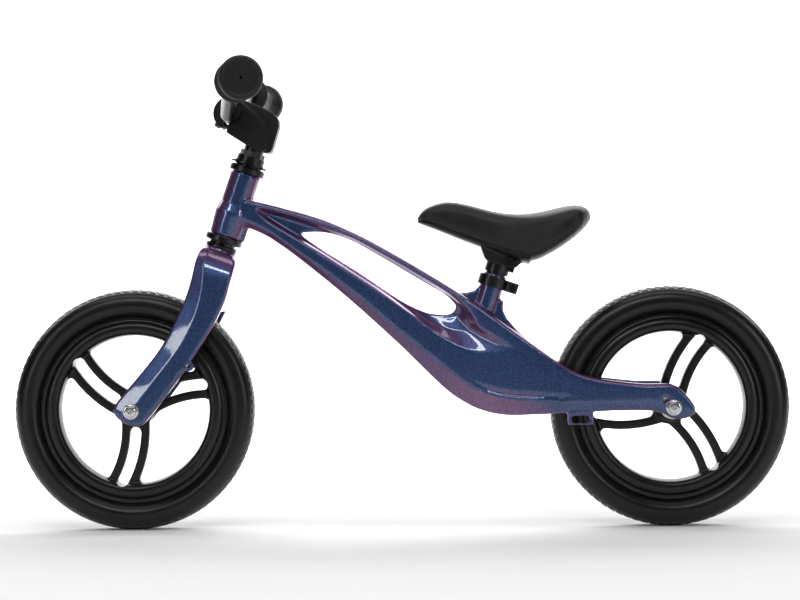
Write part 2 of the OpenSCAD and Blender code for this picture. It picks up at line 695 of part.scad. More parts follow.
// Grip with a round guard at each end, closed at the outer end
module grip() {
    a = bar_tip(bar_span / 2 - grip_len);
    slope = atan2(tan(bar_sweep), 1);
    guard = guard_d / 2;
    translate(a) rotate([0, 0, -slope]) along_y() difference() {
        rotate_extrude() polygon([
            [0, 0], [guard - 7, 0], [guard - 2, 1.5],
            [guard, 4], [guard - 1, 6.5], [guard - 6, 8.5], [grip_d / 2 + 2, 11],
            [grip_d / 2, 15], [grip_d / 2, grip_len - 24], [grip_d / 2 + 2, grip_len - 20],
            [guard - 4, grip_len - 15], [guard - 1, grip_len - 12],
            [guard, grip_len - 8], [guard, grip_len - 4],
            [guard - 1.5, grip_len - 1.5], [guard - 3, grip_len], [guard - 4.5, grip_len - 0.4],
            [guard - 5.5, grip_len - 1.6], [0, grip_len - 1.2]
        ]);
        translate([0, 0, -1]) cylinder(h = grip_len - 2.5, r = bar_d / 2);
        translate([0, 0, grip_len - 10]) cylinder(h = 20, r = 1.9);
    }
}
module left_grip() { color(rubber) at_clamp() mirror([0, 1, 0]) grip(); }
module right_grip() { color(rubber) at_clamp() grip(); }

/* ---------- Wheels, drawn around the wheel centre ---------- */
seat_r_rim = rim_seat_d / 2;
inner_r = rim_inner_d / 2;
rim_half = rim_w / 2;
module tyre() {
    half = tyre_w / 2;
    wall = tyre_r - seat_r_rim;
    rotate([90, 0, 0]) rotate_extrude($fn = 128)
        polygon([
            [seat_r_rim - 6, -6], [seat_r_rim, -9],
            [seat_r_rim, -rim_half + 4], [seat_r_rim + 3, -rim_half + 1],
            [seat_r_rim + wall * 0.28, -half * 0.9],
            [seat_r_rim + wall * 0.5, -half], [tyre_r - wall * 0.34, -half * 0.92],
            [tyre_r - wall * 0.16, -half * 0.7],
            [tyre_r - wall * 0.05, -half * 0.4], [tyre_r, -half * 0.12],
            [tyre_r, half * 0.12], [tyre_r - wall * 0.05, half * 0.4], [tyre_r - wall * 0.16, half * 0.7],
            [tyre_r - wall * 0.34, half * 0.92],
            [seat_r_rim + wall * 0.5, half], [seat_r_rim + wall * 0.28, half * 0.9],
            [seat_r_rim + 3, rim_half - 1], [seat_r_rim, rim_half - 4], [seat_r_rim, 9], [seat_r_rim - 6, 6]
        ]);
}
// Ring of the rim: slim at the middle plane, rounded out to both sides, with
// a step outside the roundings where the tyre sits
module rim_ring() {
    deep = 1.5;
    rotate([90, 0, 0]) rotate_extrude($fn = 128)
        polygon([
            [inner_r, -3], [inner_r + 0.4, -7],
            [inner_r + 1.5, -rim_half + 4], [inner_r + 4, -rim_half + 1],
            [inner_r + 8, -rim_half], [inner_r + 12, -rim_half + 0.6], [inner_r + 15, -rim_half + 2.4],
            [inner_r + 17, -rim_half + 4.5],
            [seat_r_rim - deep, -rim_half + 4.5], [seat_r_rim, -rim_half + 4],
            [seat_r_rim, -9], [seat_r_rim - 6, -6], [seat_r_rim - 6, 6], [seat_r_rim, 9],
            [seat_r_rim, rim_half - 4], [seat_r_rim - deep, rim_half - 4.5], [inner_r + 17, rim_half - 4.5],
            [inner_r + 15, rim_half - 2.4], [inner_r + 12, rim_half - 0.6], [inner_r + 8, rim_half],
            [inner_r + 4, rim_half - 1], [inner_r + 1.5, rim_half - 4], [inner_r + 0.4, 7], [inner_r, 3]
        ]);
}
spoke_mid = [1.2 - spoke_bend, -25];
corner_r = 5;                            // rounding where a spoke meets the rim
module band_of(r_low, r_high) {
    difference() {
        circle(r = r_high, $fn = 180);
        circle(r = r_low, $fn = 180);
    }
}
// One pair of spokes pointing down, with the slot left in; x is the bike's x
module spoke_pair() {
    reach = inner_r + lip;
    half = spoke_slot / 2 + spoke_w;
    intersection() {
        translate(spoke_mid) band_of(spoke_bend - half, spoke_bend + half);
        circle(r = inner_r + 3);
        translate([-reach, -reach]) square([2 * reach, reach]);
    }
}
// Ends of the slot lie on its curved middle line, at a given distance from the hub
function slot_turn(r) =
    let (d = norm(spoke_mid)) -acos((d * d + spoke_bend * spoke_bend - r * r) / (2 * d * spoke_bend));
slot_low = hub_d / 2 + 3 + spoke_slot / 2;
slot_high = inner_r + lip - spoke_slot / 2;
function slot_point(r) =
    let (base = atan2(-spoke_mid[1], -spoke_mid[0]), turn = base + slot_turn(r))
    [spoke_mid[0] + spoke_bend * cos(turn), spoke_mid[1] + spoke_bend * sin(turn)];
module slot_hole() {
    r = spoke_slot / 2;
    intersection() {
        translate(spoke_mid) band_of(spoke_bend - r, spoke_bend + r);
        difference() {
            circle(r = norm(slot_point(slot_high)));
            circle(r = slot_low);
        }
        translate([-slot_high, -2 * slot_high]) square([2 * slot_high, 2 * slot_high]);
    }
    for (end = [slot_low, slot_high]) translate(slot_point(end)) circle(r = r, $fn = 48);
}
module spokes() {
    // Draws in the bike's x and z, then stands the drawing up
    rotate([90, 0, 0]) linear_extrude(spoke_deep, center = true)
        difference() {
            // Growing and shrinking the drawing rounds its inner corners
            offset(r = -corner_r) offset(r = corner_r) {
                for (i = [0 : 2]) rotate(i * 120) spoke_pair();
                band_of(inner_r + 0.5, inner_r + lip);
                circle(r = hub_d / 2 + 4);
            }
            for (i = [0 : 2]) rotate(i * 120) slot_hole();
        }
}
module rim() {
    difference() {
        union() {
            rim_ring();
            spokes();
            across(2 * hub_half, hub_d / 2 - 2);
            across(2 * hub_half - 4, hub_d / 2);
        }
        across(2 * hub_half + 2, bearing_d / 2 - 2.5);
        for (s = [-1, 1])
            translate([0, s * hub_half, 0]) across(2 * bearing_w, bearing_d / 2);
        rotate([90, 0, 0]) linear_extrude(2 * rim_w, center = true)
            for (i = [0 : 2]) rotate(i * 120) slot_hole();
    }
}
module bearings() {
    for (s = [-1, 1])
        translate([0, s * (hub_half - bearing_w / 2), 0]) along_y()
            rotate_extrude() polygon([
                [axle_d / 2 + fit_gap, -bearing_w / 2], [axle_d / 2 + 1.8, -bearing_w / 2],
                [axle_d / 2 + 1.9, -bearing_w / 2 + 0.4], [bearing_d / 2 - 1.6, -bearing_w / 2 + 0.4],
                [bearing_d / 2 - 1.5, -bearing_w / 2],
                [bearing_d / 2, -bearing_w / 2], [bearing_d / 2, bearing_w / 2],
                [bearing_d / 2 - 1.5, bearing_w / 2], [bearing_d / 2 - 1.6, bearing_w / 2 - 0.4],
                [axle_d / 2 + 1.9, bearing_w / 2 - 0.4],
                [axle_d / 2 + 1.8, bearing_w / 2], [axle_d / 2 + fit_gap, bearing_w / 2]
            ]);
}
module hub_sleeve() {
    half = hub_half - bearing_w;
    along_y() translate([0, 0, -half]) tube(2 * half, axle_d / 2 + 2, axle_d / 2 + fit_gap);
}
module turned(angle) { rotate([0, angle, 0]) children(); }
module front_tyre() { color(rubber) at_front() tyre(); }
module front_rim() { color(plastic) at_front() turned(front_turn) rim(); }
module front_bearings() { color(metal) at_front() bearings(); }
module front_hub_sleeve() { color(metal) at_front() hub_sleeve(); }
module rear_tyre() { color(rubber) at_rear() tyre(); }
module rear_rim() { color(plastic) at_rear() turned(rear_turn) rim(); }
module rear_bearings() { color(metal) at_rear() bearings(); }
module rear_hub_sleeve() { color(metal) at_rear() hub_sleeve(); }

/* ---------- Seat, drawn around the seat tube ---------- */
module seat_post() {
    color(black_steel) at_seat() translate([0, 0, post_low]) tube(post_len, post_d / 2, post_d / 2 - 1.8);
}
// Saddle outlines: [share of the saddle length, height over the lowest point]
saddle_top = [
    [0, 48], [0.03, 56], [0.08, 61.8], [0.16, 66],
    [0.24, 64.8], [0.34, 60], [0.46, 54], [0.57, 51.6], [0.67, 52.6],
    [0.76, 56], [0.84, 59.6], [0.91, 61], [0.96, 59], [0.99, 54], [1, 48]
];
saddle_low = [
    [0, 45], [0.1, 37.5], [0.24, 26.5], [0.36, 17.5],
    [0.48, 8.5], [0.56, 2], [0.61, -1.5], [0.66, -1.5], [0.75, 5.5],
    [0.86, 18.5], [0.94, 31], [0.98, 39], [1, 45]
];
saddle_half = [
    [0, 0.12], [0.03, 0.25], [0.1, 0.33], [0.25, 0.37],
    [0.4, 0.42], [0.52, 0.53], [0.65, 0.74], [0.77, 0.93], [0.87, 1],
    [0.94, 0.9], [0.98, 0.62], [1, 0.3]
];
saddle_low_z = 29;
saddle_steps = [0, 0.015, 0.03, 0.06, 0.1, 0.16, 0.22, 0.29, 0.36, 0.43, 0.5, 0.57, 0.64, 0.71, 0.78, 0.84, 0.9, 0.94, 0.97, 0.99, 1];
function saddle_ring(s, drop, inset) =
    let (
        x = saddle_x + s * saddle_len, w = saddle_w / 2 * smooth(saddle_half, s) - inset,
        top = smooth(saddle_top, s), low = smooth(saddle_low, s),
        mid = (top + low) / 2, half = (top - low) / 2
    )
    [for (i = [0 : 23]) let (a = i * 15, c = cos(a), q = sin(a))
        [x, w * sign(c) * pow(abs(c), 0.62), mid + half * sign(q) * pow(abs(q), 0.62) + drop]];
module at_saddle() { translate([seat_x, 0, seat_z + saddle_low_z]) children(); }
module saddle_cushion() {
    color(rubber) at_saddle() skin([for (s = saddle_steps) saddle_ring(s, 0, 0)]);
}
module saddle_base() {
    color(plastic) at_saddle() difference() {
        union() {
            translate([0, 0, -2.2])
                intersection() {
                    skin([for (s = saddle_steps) saddle_ring(s, 0, 1.5)]);
                    translate([saddle_x - 10, -40, -5]) cube([saddle_len * 0.7, 80, 60]);
                }
            // Boss under the base that takes the bracket
            rotate([90, 0, 0]) linear_extrude(34, center = true)
                polygon([[-12, 16], [-8, 4], [-5, 0], [20, -8], [27, -8], [36, 0], [36, 10]]);
        }
        skin([for (s = saddle_steps) saddle_ring(s, 0, 0)]);
        // Room for the bracket and its bolt
        translate([0, 0, -saddle_low_z]) rotate([0, seat_tilt, 0]) {
            translate([0, 0, post_top - 50]) cylinder(h = 51.5, r = collar_r + part_gap);
            translate([-5, -bracket_w / 2 - 0.1, post_top - 30]) cube([24, bracket_w + 0.2, 40]);
            translate([10, 0, post_top + saddle_bolt_up]) across(60, 3 + loose_gap);
            both_sides() translate([10, 17, post_top + saddle_bolt_up]) along_y() cylinder(h = 12, r = 6.5);
        }
    }
}
bracket_w = 14;
saddle_bolt_up = 4.5;
collar_r = post_d / 2 + 2.5;
module saddle_bracket() {
    color(black_steel) at_seat() difference() {
        union() {
            translate([0, 0, post_top - 12]) cylinder(h = 12.5, r = collar_r);
            translate([-4, -bracket_w / 2, post_top - 6]) cube([22, bracket_w, 15]);
        }
        translate([0, 0, post_top - 40]) cylinder(h = 40, r = post_d / 2);
        translate([10, 0, post_top + saddle_bolt_up]) across(40, 3);
    }
}
module saddle_bolt() {
    color(metal) at_seat() translate([10, -17, post_top + saddle_bolt_up]) cap_bolt(3, 38, 5, 4, 2.5);
}
module saddle_nut() {
    color(metal) at_seat() translate([10, 17, post_top + saddle_bolt_up]) along_y() difference() {
        cylinder(h = 4, r = 5.4, $fn = 6);
        translate([0, 0, -1]) cylinder(h = 6, r = 3, $fn = 48);
    }
}

frame();
upper_cup();
lower_cup();
seat_clamp_band();
seat_clamp_bolt();
seat_clamp_nut();
rear_axle();
rear_axle_bolts();
rear_washers();
rear_spacers();
fork();
steerer_tube();
crown_race();
lower_balls();
upper_balls();
top_race();
dust_seal();
keyed_washer();
locknut();
front_axle();
front_axle_bolts();
front_washers();
front_spacers();
quill();
stem_body();
expander_wedge();
expander_bolt();
clamp_cap();
clamp_bolts();
handlebar();
left_grip();
right_grip();
front_tyre();
front_rim();
front_bearings();
front_hub_sleeve();
rear_tyre();
rear_rim();
rear_bearings();
rear_hub_sleeve();
seat_post();
saddle_bracket();
saddle_bolt();
saddle_nut();
saddle_base();
saddle_cushion();
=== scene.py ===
"""Looks of a balance bike, built around its fixed frame of solids.

Each sub-assembly is a class that builds its visible pieces and dresses them.
Lengths are metres, the front of the bike points to -X and up is +Z.
"""

from __future__ import annotations

import json
import logging
import math
from dataclasses import dataclass, field
from enum import Enum

import bmesh
import bpy
from mathutils import Matrix, Vector

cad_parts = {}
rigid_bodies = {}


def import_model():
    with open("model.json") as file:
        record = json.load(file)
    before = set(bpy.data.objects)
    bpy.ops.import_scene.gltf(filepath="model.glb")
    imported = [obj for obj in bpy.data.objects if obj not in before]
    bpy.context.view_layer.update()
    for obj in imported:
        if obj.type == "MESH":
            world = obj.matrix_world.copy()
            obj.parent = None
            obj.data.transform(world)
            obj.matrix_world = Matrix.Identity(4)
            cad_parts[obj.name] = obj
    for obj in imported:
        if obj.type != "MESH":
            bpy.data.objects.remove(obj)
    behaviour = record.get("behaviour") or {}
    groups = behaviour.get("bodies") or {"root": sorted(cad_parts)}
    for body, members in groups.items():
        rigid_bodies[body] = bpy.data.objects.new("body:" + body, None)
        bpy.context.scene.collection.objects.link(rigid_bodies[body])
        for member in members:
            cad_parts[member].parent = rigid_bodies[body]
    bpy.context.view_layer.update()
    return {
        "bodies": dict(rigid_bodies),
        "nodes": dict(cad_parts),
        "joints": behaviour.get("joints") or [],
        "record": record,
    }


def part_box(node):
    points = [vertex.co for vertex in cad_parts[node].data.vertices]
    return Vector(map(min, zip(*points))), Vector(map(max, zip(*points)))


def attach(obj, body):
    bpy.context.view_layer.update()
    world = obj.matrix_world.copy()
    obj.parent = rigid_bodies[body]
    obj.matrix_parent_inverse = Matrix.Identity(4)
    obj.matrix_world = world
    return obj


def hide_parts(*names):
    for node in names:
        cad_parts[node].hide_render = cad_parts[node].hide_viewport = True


LOG = logging.getLogger("balance_bike")
MM = 0.001


class Body(Enum):
    """Rigid bodies that a piece can ride on."""

    FRAME = "frame"
    STEERING = "steering"
    STEM = "stem"
    HANDLEBAR = "handlebar"
    FRONT_WHEEL = "front_wheel"
    REAR_WHEEL = "rear_wheel"
    SEAT = "seat"


# ---------------------------------------------------------------- materials


class Graph:
    """A material's node tree with short calls for what the finishes share."""

    def __init__(self, name: str) -> None:
        """Starts an empty tree with a Principled shader on its output.

        Args:
            name: Name of the new material.
        """
        self.material = bpy.data.materials.new(name)
        self.material.use_nodes = True
        self.tree = self.material.node_tree
        self.tree.nodes.clear()
        self.shader = self.add("ShaderNodeBsdfPrincipled")
        output = self.add("ShaderNodeOutputMaterial")
        self.link(self.shader.outputs["BSDF"], output.inputs["Surface"])
        self.place = self.add("ShaderNodeTexCoord").outputs["Object"]

    def add(self, kind: str, **settings: object) -> bpy.types.Node:
        """Adds a node and sets its properties, and its inputs by name.

        Args:
            kind: The node's type.
            settings: Properties, or inputs where the node has one so named.

        Returns:
            The new node.
        """
        made = self.tree.nodes.new(kind)
        for key, value in settings.items():
            if key in made.inputs:
                made.inputs[key].default_value = value
            else:
                setattr(made, key, value)
        return made

    def link(self, source: bpy.types.NodeSocket, target: bpy.types.NodeSocket) -> None:
        """Joins two sockets."""
        self.tree.links.new(source, target)

    def set(self, **values: object) -> None:
        """Sets inputs of the shader, with underscores for spaces."""
        for key, value in values.items():
            self.shader.inputs[key.replace("_", " ")].default_value = value

    def noise(self, scale: float, detail: float = 3.0) -> bpy.types.NodeSocket:
        """Noise on the piece's own place.

        Args:
            scale: Grains per metre.
            detail: Octaves of the noise.

        Returns:
            The socket with the noise, from 0 to 1.
        """
        node = self.add("ShaderNodeTexNoise", Scale=scale, Detail=detail)
        self.link(self.place, node.inputs["Vector"])
        return node.outputs["Fac"]

    def ramp(
        self,
        source: bpy.types.NodeSocket,
        low: tuple[float, ...],
        high: tuple[float, ...],
        start: float = 0.3,
        end: float = 0.7,
    ) -> bpy.types.NodeSocket:
        """Colour that runs from low to high as source goes from start to end."""
        node = self.add("ShaderNodeValToRGB")
        first, last = node.color_ramp.elements
        first.position, last.position = start, end
        first.color = (*low, 1.0)
        last.color = (*high, 1.0)
        self.link(source, node.inputs["Fac"])
        return node.outputs["Color"]

    def grey(
        self, source: bpy.types.NodeSocket, low: float, high: float
    ) -> bpy.types.NodeSocket:
        """Number that runs from low to high as source goes from 0 to 1."""
        node = self.add("ShaderNodeMapRange")
        node.inputs["To Min"].default_value = low
        node.inputs["To Max"].default_value = high
        self.link(source, node.inputs["Value"])
        return node.outputs["Result"]

    def bump(self, source: bpy.types.NodeSocket, strength: float, depth: float) -> None:
        """Lets source raise the surface by up to depth metres."""
        node = self.add("ShaderNodeBump", Strength=strength, Distance=depth)
        self.link(source, node.inputs["Height"])
        self.link(node.outputs["Normal"], self.shader.inputs["Normal"])


@dataclass(frozen=True)
class ShiftPaint:
    """Flaked colour-shift paint under clear coat: blue sides and a painted purple sheen on the edges."""

    name: str = "shift_paint"
    slot: str = "frame_paint"
    side: tuple[float, float, float] = (0.024, 0.052, 0.132)
    # Painted purple sheen for faces not turned to the side, in place of the paint's colour shift at
    # grazing angles
    painted_edge_sheen: tuple[float, float, float] = (0.092, 0.036, 0.105)
    flakes_per_m: float = 1600.0
    flake_dark: tuple[float, float, float] = (0.38, 0.42, 0.45)
    flake_bright: tuple[float, float, float] = (2.2, 2.2, 2.2)
    flake_tilt: float = 0.12
    turn_start: float = 0.80
    turn_end: float = 0.93

    def make(self) -> bpy.types.Material:
        """Builds the material."""
        g = Graph(self.name)
        g.set(
            Metallic=0.55,
            Roughness=0.34,
            Specular_Tint=(0.8, 0.6, 0.95, 1.0),
            Coat_Weight=1.0,
            Coat_Roughness=0.035,
            Coat_IOR=1.5,
        )
        # The side colour gives way to a painted purple sheen where the surface faces up, down or along: it
        # stands in for the paint's colour shift at grazing angles
        facing = g.add("ShaderNodeSeparateXYZ")
        g.link(g.add("ShaderNodeTexCoord").outputs["Normal"], facing.inputs["Vector"])
        flat = g.add("ShaderNodeMath", operation="ABSOLUTE")
        g.link(facing.outputs["Y"], flat.inputs[0])
        # base holds the blue side colour and the painted purple sheen
        base = g.ramp(
            flat.outputs["Value"], self.painted_edge_sheen, self.side, self.turn_start, self.turn_end
        )
        # Flakes: each cell has its own brightness and its own small tilt
        cells = g.add("ShaderNodeTexVoronoi", Scale=self.flakes_per_m)
        g.link(g.place, cells.inputs["Vector"])
        spark = g.ramp(
            cells.outputs["Color"], self.flake_dark, self.flake_bright, 0.15, 0.95
        )
        shade = g.add("ShaderNodeMix", data_type="RGBA", blend_type="MULTIPLY")
        shade.inputs["Factor"].default_value = 1.0
        g.link(base, shade.inputs["A"])
        g.link(spark, shade.inputs["B"])
        g.link(shade.outputs["Result"], g.shader.inputs["Base Color"])
        centred = g.add("ShaderNodeVectorMath", operation="SUBTRACT")
        centred.inputs[1].default_value = (0.5, 0.5, 0.5)
        g.link(cells.outputs["Color"], centred.inputs[0])
        small = g.add("ShaderNodeVectorMath", operation="SCALE")
        small.inputs["Scale"].default_value = self.flake_tilt
        g.link(centred.outputs["Vector"], small.inputs[0])
        tilted = g.add("ShaderNodeVectorMath", operation="ADD")
        g.link(g.add("ShaderNodeNewGeometry").outputs["Normal"], tilted.inputs[0])
        g.link(small.outputs["Vector"], tilted.inputs[1])
        unit = g.add("ShaderNodeVectorMath", operation="NORMALIZE")
        g.link(tilted.outputs["Vector"], unit.inputs[0])
        g.link(unit.outputs["Vector"], g.shader.inputs["Normal"])
        return g.material


@dataclass(frozen=True)
class Moulded:
    """Plastic, rubber, foam or matte paint: one dark tone, a fine grain and an uneven gloss."""

    name: str
    slot: str
    tone: float
    rough: float
    grain: float
    depth: float
    spread: float = 0.05
    coat: float = 0.0
    spec: float = 0.5

    def make(self) -> bpy.types.Material:
        """Builds the material."""
        g = Graph(self.name)
        g.set(
            Specular_IOR_Level=self.spec,
            Coat_Weight=self.coat,
            Coat_Roughness=0.06,
        )
        patches = g.noise(55.0, 4.0)
        low, high = self.tone * 0.8, self.tone * 1.25
        colour = g.ramp(patches, (low, low, low), (high, high, high * 1.02))
        g.link(colour, g.shader.inputs["Base Color"])
        gloss = g.grey(patches, self.rough - self.spread, self.rough + self.spread)
        g.link(gloss, g.shader.inputs["Roughness"])
        g.bump(g.noise(self.grain, 2.0), 0.5, self.depth)
        return g.material


@dataclass(frozen=True)
class Metal:
    """Turned or plated steel with faint machining marks."""

    name: str
    slot: str
    tone: tuple[float, float, float]
    rough: float
    marks: float = 1800.0

    def make(self) -> bpy.types.Material:
        """Builds the material."""
        g = Graph(self.name)
        g.set(Metallic=1.0, Specular_Tint=(0.9, 0.92, 1.0, 1.0))
        patches = g.noise(140.0, 3.0)
        worn = tuple(c * 0.82 for c in self.tone)
        g.link(g.ramp(patches, worn, self.tone), g.shader.inputs["Base Color"])
        g.link(g.grey(patches, self.rough - 0.05, self.rough + 0.07), g.shader.inputs["Roughness"])
        g.bump(g.noise(self.marks, 1.0), 0.35, 0.00002)
        return g.material


class Finishes:
    """All finishes, each made once and found by its slot in the record."""

    def __init__(self) -> None:
        """Makes every material."""
        recipes = [
            ShiftPaint(),
            Metal("black_plated_steel", "black_steel", (0.045, 0.045, 0.048), 0.30),
            Metal("satin_grey_steel", "satin_grey", (0.10, 0.10, 0.105), 0.38),
            Metal("bright_steel", "silver_steel", (0.78, 0.78, 0.79), 0.24),
            Metal("polished_steel", "clear_steel", (0.82, 0.82, 0.84), 0.12),
            Moulded("stem_matte_black", "stem_black", 0.0050, 0.44, 2600.0, 0.00005, spec=0.35),
            Moulded("bar_gloss_black", "bar_black", 0.004, 0.16, 900.0, 0.000005, coat=1.0),
            Moulded("grip_rubber", "grip_rubber", 0.0045, 0.50, 2200.0, 0.00006, spec=0.35),
            Moulded("tyre_foam", "tyre_foam", 0.0035, 0.33, 2400.0, 0.00006, spec=0.35),
            Moulded("rim_plastic", "rim_plastic", 0.0035, 0.30, 2000.0, 0.00003, spec=0.4),
            Moulded("saddle_plastic", "saddle_plastic", 0.0050, 0.40, 1800.0, 0.00004, spec=0.35),
            Moulded("saddle_foam", "saddle_foam", 0.0045, 0.46, 1500.0, 0.00010, spec=0.35),
        ]
        self.by_slot = {recipe.slot: recipe.make() for recipe in recipes}

    def dress(self, piece: bpy.types.Object, slot: str) -> None:
        """Gives a piece the finish of a slot, in place of any it had.

        Args:
            piece: The piece to dress.
            slot: Name of the material slot in the record.
        """
        piece.data.materials.clear()
        piece.data.materials.append(self.by_slot[slot])


# ------------------------------------------------------------------- meshes


class Shop:
    """Makes pieces: rounds cast shapes and turns profiles."""

    def __init__(self, frame: dict, finishes: Finishes) -> None:
        """Keeps the frame and the finishes.

        Args:
            finishes: All finishes.
        """
        self.nodes = frame["nodes"]
        self.finishes = finishes
        self.slots = {s["node"]: s["material_slot"] for s in frame["record"]["subparts"]}

    def add(self, name: str, mesh: bpy.types.Mesh) -> bpy.types.Object:
        """Links a mesh to the scene as an object at the origin."""
        piece = bpy.data.objects.new(name, mesh)
        bpy.context.scene.collection.objects.link(piece)
        return piece

    def apply(self, piece: bpy.types.Object) -> None:
        """Turns a piece's live modifiers into its plain mesh."""
        graph = bpy.context.evaluated_depsgraph_get()
        made = bpy.data.meshes.new_from_object(piece.evaluated_get(graph))
        piece.modifiers.clear()
        piece.data = made

    def settle(self, piece: bpy.types.Object, body: Body, *nodes: str, slot: str = "") -> None:
        """Dresses a piece, hides the nodes it stands for and lets it ride on its body.

        Args:
            piece: The finished piece.
            body: The body that carries it.
            nodes: Nodes of the frame that it stands for.
            slot: Material slot, by default that of the first node.
        """
        slot = slot or self.slots[nodes[0]]
        self.finishes.dress(piece, slot)
        for face in piece.data.polygons:
            face.use_smooth = True
        if nodes:
            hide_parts(*nodes)
        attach(piece, body.value)
        LOG.info("%s: %d faces on %s", piece.name, len(piece.data.polygons), body.value)

    def keep(self, node: str) -> None:
        """Dresses a node of the frame that is shown as it is."""
        self.finishes.dress(self.nodes[node], self.slots[node])

    def cast(self, node: str, grain: float, rounds: int, name: str = "") -> bpy.types.Object:
        """Copies a node and rounds its edges the way a casting or a moulding is rounded.

        Args:
            node: The node to copy.
            grain: Size of the new mesh's faces.
            rounds: Smoothing passes; the edge radius grows with them.
            name: Name of the new piece, by default made from the node's.

        Returns:
            The new piece.
        """
        mesh = self.nodes[node].data.copy()
        piece = self.add(name or f"{node}_shape", mesh)
        work = bmesh.new()
        work.from_mesh(mesh)
        bmesh.ops.remove_doubles(work, verts=work.verts, dist=0.00001)
        work.to_mesh(mesh)
        work.free()
        source = self.add(f"{node}_source", mesh.copy())
        remesh = piece.modifiers.new("remesh", "REMESH")
        remesh.mode = "VOXEL"
        remesh.voxel_size = grain
        wrap = piece.modifiers.new("wrap", "SHRINKWRAP")
        wrap.target = source
        wrap.wrap_method = "NEAREST_SURFACEPOINT"
        soften = piece.modifiers.new("soften", "SMOOTH")
        soften.factor = 0.5
        soften.iterations = rounds
        self.apply(piece)
        bpy.data.objects.remove(source)
        return piece

    def turn(
        self, name: str, profile: list[tuple[float, float]], spin: Matrix, steps: int = 128
    ) -> bpy.types.Object:
        """Turns a closed profile of (radius, place along the axis) around z.

        Args:
            name: Name of the new piece.
            profile: Corners of the closed profile; a radius of 0 lies on the axis.
            spin: Places the turned shape.
            steps: Number of faces round the axis.

        Returns:
            The new piece.
        """
        work = bmesh.new()
        rings = []
        for radius, along in profile:
            if radius < 1e-7:
                pole = work.verts.new((0.0, 0.0, along))
                rings.append([pole] * steps)
                continue
            turns = [2 * math.pi * i / steps for i in range(steps)]
            ring = [(radius * math.cos(t), radius * math.sin(t), along) for t in turns]
            rings.append([work.verts.new(corner) for corner in ring])
        for one, two in zip(rings, rings[1:] + rings[:1]):
            for i in range(steps):
                j = (i + 1) % steps
                corners = list(dict.fromkeys([one[i], one[j], two[j], two[i]]))
                if len(corners) > 2:
                    work.faces.new(corners)
        bmesh.ops.recalc_face_normals(work, faces=work.faces)
        bmesh.ops.transform(work, matrix=spin, verts=work.verts)
        mesh = bpy.data.meshes.new(name)
        work.to_mesh(mesh)
        work.free()
        return self.add(name, mesh)


class RingOfCopies:
    """Geometry nodes that repeat a small shape round an axis and give it a finish."""

    def __init__(self) -> None:
        """Builds the tree once, with its inputs."""
        tree = bpy.data.node_groups.new("ring_of_copies", "GeometryNodeTree")
        face = tree.interface
        face.new_socket("Geometry", in_out="INPUT", socket_type="NodeSocketGeometry")
        face.new_socket("Count", in_out="INPUT", socket_type="NodeSocketInt")
        face.new_socket("Material", in_out="INPUT", socket_type="NodeSocketMaterial")
        face.new_socket("Geometry", in_out="OUTPUT", socket_type="NodeSocketGeometry")
        nodes, link = tree.nodes, tree.links.new
        given, result = nodes.new("NodeGroupInput"), nodes.new("NodeGroupOutput")
        line = nodes.new("GeometryNodeMeshLine")
        line.inputs["Offset"].default_value = (0.0, 0.0, 0.0)
        link(given.outputs["Count"], line.inputs["Count"])
        index = nodes.new("GeometryNodeInputIndex")
        share = nodes.new("ShaderNodeMath")
        share.operation = "DIVIDE"
        link(index.outputs["Index"], share.inputs[0])
        link(given.outputs["Count"], share.inputs[1])
        turn = nodes.new("ShaderNodeMath")
        turn.operation = "MULTIPLY"
        turn.inputs[1].default_value = 2 * math.pi
        link(share.outputs[0], turn.inputs[0])
        around = nodes.new("ShaderNodeCombineXYZ")
        link(turn.outputs[0], around.inputs["Z"])
        copies = nodes.new("GeometryNodeInstanceOnPoints")
        link(line.outputs["Mesh"], copies.inputs["Points"])
        link(given.outputs["Geometry"], copies.inputs["Instance"])
        link(around.outputs["Vector"], copies.inputs["Rotation"])
        real = nodes.new("GeometryNodeRealizeInstances")
        link(copies.outputs["Instances"], real.inputs["Geometry"])
        paint = nodes.new("GeometryNodeSetMaterial")
        link(real.outputs["Geometry"], paint.inputs["Geometry"])
        link(given.outputs["Material"], paint.inputs["Material"])
        link(paint.outputs["Geometry"], result.inputs["Geometry"])
        self.tree = tree
        self.keys = {s.name: s.identifier for s in face.items_tree if s.in_out == "INPUT"}

    def repeat(
        self, shop: Shop, piece: bpy.types.Object, count: int, material: bpy.types.Material, spin: Matrix
    ) -> None:
        """Repeats a piece round z and then places the whole ring.

        Args:
            shop: The shop that applies the modifier.
            piece: One copy, drawn where it belongs on the ring.
            count: Number of copies.
            material: Their finish.
            spin: Places the ring.
        """
        copies = piece.modifiers.new("copies", "NODES")
        copies.node_group = self.tree
        copies[self.keys["Count"]] = count
        copies[self.keys["Material"]] = material
        shop.apply(piece)
        piece.data.transform(spin)


def centre(node: str) -> Vector:
    """Middle of a node's box at rest."""
    low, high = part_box(node)
    return (Vector(low) + Vector(high)) / 2


def size(node: str) -> Vector:
    """Sides of a node's box at rest."""
    low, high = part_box(node)
    return Vector(high) - Vector(low)


def arc(cx: float, cy: float, r: float, start: float, end: float, steps: int) -> list[tuple[float, float]]:
    """Points on an arc, its angles in degrees."""
    turns = [math.radians(start + (end - start) * i / steps) for i in range(steps + 1)]
    return [(cx + r * math.cos(t), cy + r * math.sin(t)) for t in turns]


# ------------------------------------------------------------- sub-assemblies


